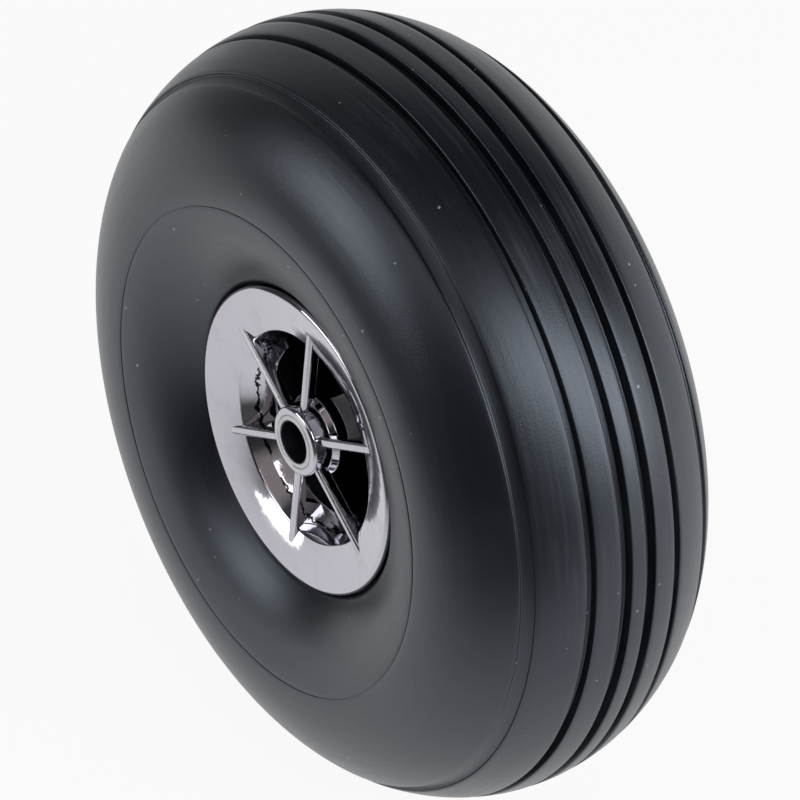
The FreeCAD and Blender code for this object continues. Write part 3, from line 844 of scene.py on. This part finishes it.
FRONT = (0.42, -0.91, 0.0)      # the way out from the wheel's outer face, over the floor
FLOOR_GAP = 0.02 * MM           # how far the floor lies under the tyre
FLOOR_PALE = 0.035              # reach along FRONT up to which the floor reflects as pale
FLOOR_DIM = 0.11                # reach from which it reflects as dim
DIM = 0.05                      # brightness of the dim floor in reflections
WHITE_SHARE = 0.92              # share of plain white in what a camera or reflection sees
ROOM = 0.06                     # level of the room where nothing else is said
ROOM_BEHIND = 0.45              # level behind the wheel
ROOM_RIGHT = 0.9                # level at the right, low down
ROOM_BELOW = 0.03               # level low before the outer face
ROOM_ABOVE = (0.34, 0.30, 0.29)     # warm colour high before the outer face
SENSOR_WIDTH = 36.0             # millimetres
CAMERA_RANGE = (0.01, 20.0)     # distances between which the camera sees things


def floor_material(shade):
    """Pale matt floor that looks nearly white, but reflects as dim before the outer face."""
    material = bpy.data.materials.new("floor_pale")
    material.use_nodes = True
    graph = Graph(material.node_tree)
    material.node_tree.nodes.clear()
    matt = graph.node("ShaderNodeBsdfDiffuse")
    matt.inputs["Color"].default_value = rgba(shade)
    ahead = graph.dot(graph.node("ShaderNodeTexCoord").outputs["Object"], FRONT)
    pale = graph.ramp(ahead, low=FLOOR_DIM, high=FLOOR_PALE, start=DIM, end=1.0)
    path = graph.node("ShaderNodeLightPath")
    glossy = graph.math("MAXIMUM", path.outputs["Is Glossy Ray"],
                        path.outputs["Is Transmission Ray"])
    glow = graph.node("ShaderNodeEmission")
    graph.link(graph.mix(glossy, grey(1.0), pale), glow.inputs["Color"])
    seen = graph.math("MAXIMUM", path.outputs["Is Camera Ray"], glossy)
    both = graph.node("ShaderNodeMixShader")
    graph.link(graph.math("MULTIPLY", seen, WHITE_SHARE), both.inputs[0])
    graph.link(matt.outputs[0], both.inputs[1])
    graph.link(glow.outputs[0], both.inputs[2])
    leave = graph.node("ShaderNodeOutputMaterial")
    graph.link(both.outputs[0], leave.inputs["Surface"])
    return material


def build_floor(stage):
    """A square floor just under the tyre."""
    half = stage.floor_size / 2
    height = CAD_BOX[0].z - FLOOR_GAP
    corners = ((-half, -half), (half, -half), (half, half), (-half, half))
    bm = bmesh.new()
    bm.faces.new([bm.verts.new((x, y, height)) for x, y in corners])
    mesh = bpy.data.meshes.new("floor")
    bm.to_mesh(mesh)
    bm.free()
    mesh.materials.append(floor_material(stage.floor))
    floor = bpy.data.objects.new("floor", mesh)
    bpy.context.scene.collection.objects.link(floor)


def towards(azimuth, rise, distance=1.0):
    """The point at this azimuth and height angle, in degrees, and distance from the wheel."""
    turn = math.radians(azimuth)
    tilt = math.radians(rise)
    way = Vector((math.cos(tilt) * math.cos(turn), math.cos(tilt) * math.sin(turn),
                  math.sin(tilt)))
    return way * distance


def add_lamp(name, place, size, level, roll=0.0):
    """A soft rectangular lamp that faces the wheel; its level is how bright its face looks."""
    data = bpy.data.lights.new(name, "AREA")
    data.shape = "RECTANGLE"
    data.size, data.size_y = size
    data.energy = level * math.pi * size[0] * size[1]
    lamp = bpy.data.objects.new(name, data)
    lamp.location = place
    face = (-place).to_track_quat("-Z", "Y").to_matrix()
    lamp.rotation_euler = (face @ Matrix.Rotation(math.radians(roll), 3, "Z")).to_euler()
    lamp.visible_camera = False
    bpy.context.scene.collection.objects.link(lamp)


def build_lamps():
    """A long key lamp and a left lamp for the rubber, a strip and a small card for the hub."""
    add_lamp("key_lamp", towards(azimuth=11.0, rise=26.0, distance=0.6), size=(1.02, 0.30),
             level=4.0, roll=-24.0)
    add_lamp("left_lamp", towards(azimuth=-115.0, rise=18.5, distance=0.6), size=(0.32, 0.28),
             level=3.2)
    add_lamp("strip_lamp", towards(azimuth=-81.0, rise=42.0, distance=0.5), size=(0.34, 0.024),
             level=3.2, roll=-31.0)
    add_lamp("low_card", towards(azimuth=-126.0, rise=-15.5, distance=0.1236),
             size=(0.022, 0.011), level=3.0)


def lobe(graph, direction, azimuth, rise, core, edge):
    """A mask that is 1 within the core angle of an aim and fades out at the edge angle."""
    near = graph.dot(direction, towards(azimuth, rise))
    return graph.ramp(near, low=math.cos(math.radians(edge)), high=math.cos(math.radians(core)))


def build_world():
    """Soft room light: white at the right, grey behind, warm and dark before the outer face."""
    world = bpy.data.worlds.new("room")
    world.use_nodes = True
    bpy.context.scene.world = world
    graph = Graph(world.node_tree)
    sky = world.node_tree.nodes["Background"]
    direction = graph.node("ShaderNodeTexCoord").outputs["Generated"]
    low = graph.ramp(graph.separate(direction)["Z"], low=0.5, high=0.12)
    right = lobe(graph, direction, azimuth=56.0, rise=0.0, core=60.0, edge=88.0)
    behind = lobe(graph, direction, azimuth=150.0, rise=15.0, core=25.0, edge=55.0)
    above = lobe(graph, direction, azimuth=-72.0, rise=40.0, core=12.0, edge=32.0)
    below = lobe(graph, direction, azimuth=-68.0, rise=-10.0, core=25.0, edge=42.0)
    level = graph.mix(behind, grey(ROOM), grey(ROOM_BEHIND))
    level = graph.mix(above, level, rgba(ROOM_ABOVE))
    level = graph.mix(graph.math("MULTIPLY", low, right), level, grey(ROOM_RIGHT))
    level = graph.mix(below, level, grey(ROOM_BELOW))
    path = graph.node("ShaderNodeLightPath")
    level = graph.mix(path.outputs["Is Camera Ray"], level, grey(1.0))
    graph.link(level, sky.inputs["Color"])
    sky.inputs["Strength"].default_value = 1.0


def build_camera(stage):
    """A long lens that looks down on the wheel's outer face and tread."""
    data = bpy.data.cameras.new("camera")
    data.lens = stage.lens
    data.sensor_width = SENSOR_WIDTH
    data.clip_start, data.clip_end = CAMERA_RANGE
    camera = bpy.data.objects.new("camera", data)
    camera.location = stage.view_from
    camera.rotation_euler = (math.pi / 2 - stage.view_rise, 0.0, stage.view_angle)
    bpy.context.scene.collection.objects.link(camera)
    bpy.context.scene.camera = camera


class WHEEL_OT_stage(bpy.types.Operator):
    """Build the floor, lamps, room light and camera."""
    bl_idname = "wheel.stage"
    bl_label = "Build Stage"

    def execute(self, context):
        stage = context.scene.wheel_stage
        build_floor(stage)
        build_lamps()
        build_world()
        build_camera(stage)
        context.scene.view_settings.view_transform = "Standard"
        return {"FINISHED"}


# ---------------------------------------------------------------- panel and start

SETTINGS = {
    "wheel_tyre": TyreSettings,
    "wheel_hub": HubSettings,
    "wheel_stage": StageSettings,
}
STEPS = {
    "wheel_tyre": (WHEEL_OT_tyre,),
    "wheel_hub": (WHEEL_OT_hub, WHEEL_OT_sleeve),
    "wheel_stage": (WHEEL_OT_stage,),
}


class WHEEL_PT_panel(bpy.types.Panel):
    """Lists the wheel's settings and steps in the 3D view's sidebar."""
    bl_idname = "WHEEL_PT_panel"
    bl_label = "Model Aircraft Wheel"
    bl_space_type = "VIEW_3D"
    bl_region_type = "UI"
    bl_category = "Wheel"

    def draw(self, context):
        for group, steps in STEPS.items():
            box = self.layout.box()
            settings = getattr(context.scene, group)
            for name in settings.__annotations__:
                box.prop(settings, name)
            for step in steps:
                box.operator(step.bl_idname)


CLASSES = (*(step for steps in STEPS.values() for step in steps), WHEEL_PT_panel)


def register():
    """Register the settings, steps and panel."""
    for name, settings in SETTINGS.items():
        bpy.utils.register_class(settings)
        setattr(bpy.types.Scene, name, bpy.props.PointerProperty(type=settings))
    for item in CLASSES:
        bpy.utils.register_class(item)


def unregister():
    """Undo register, in the opposite order."""
    for item in reversed(CLASSES):
        bpy.utils.unregister_class(item)
    for name, settings in reversed(SETTINGS.items()):
        delattr(bpy.types.Scene, name)
        bpy.utils.unregister_class(settings)


def main():
    """Build every piece and the stage."""
    register()
    bpy.ops.wheel.tyre()
    bpy.ops.wheel.hub()
    bpy.ops.wheel.sleeve()
    bpy.ops.wheel.stage()


if __name__ == "__main__":
    main()
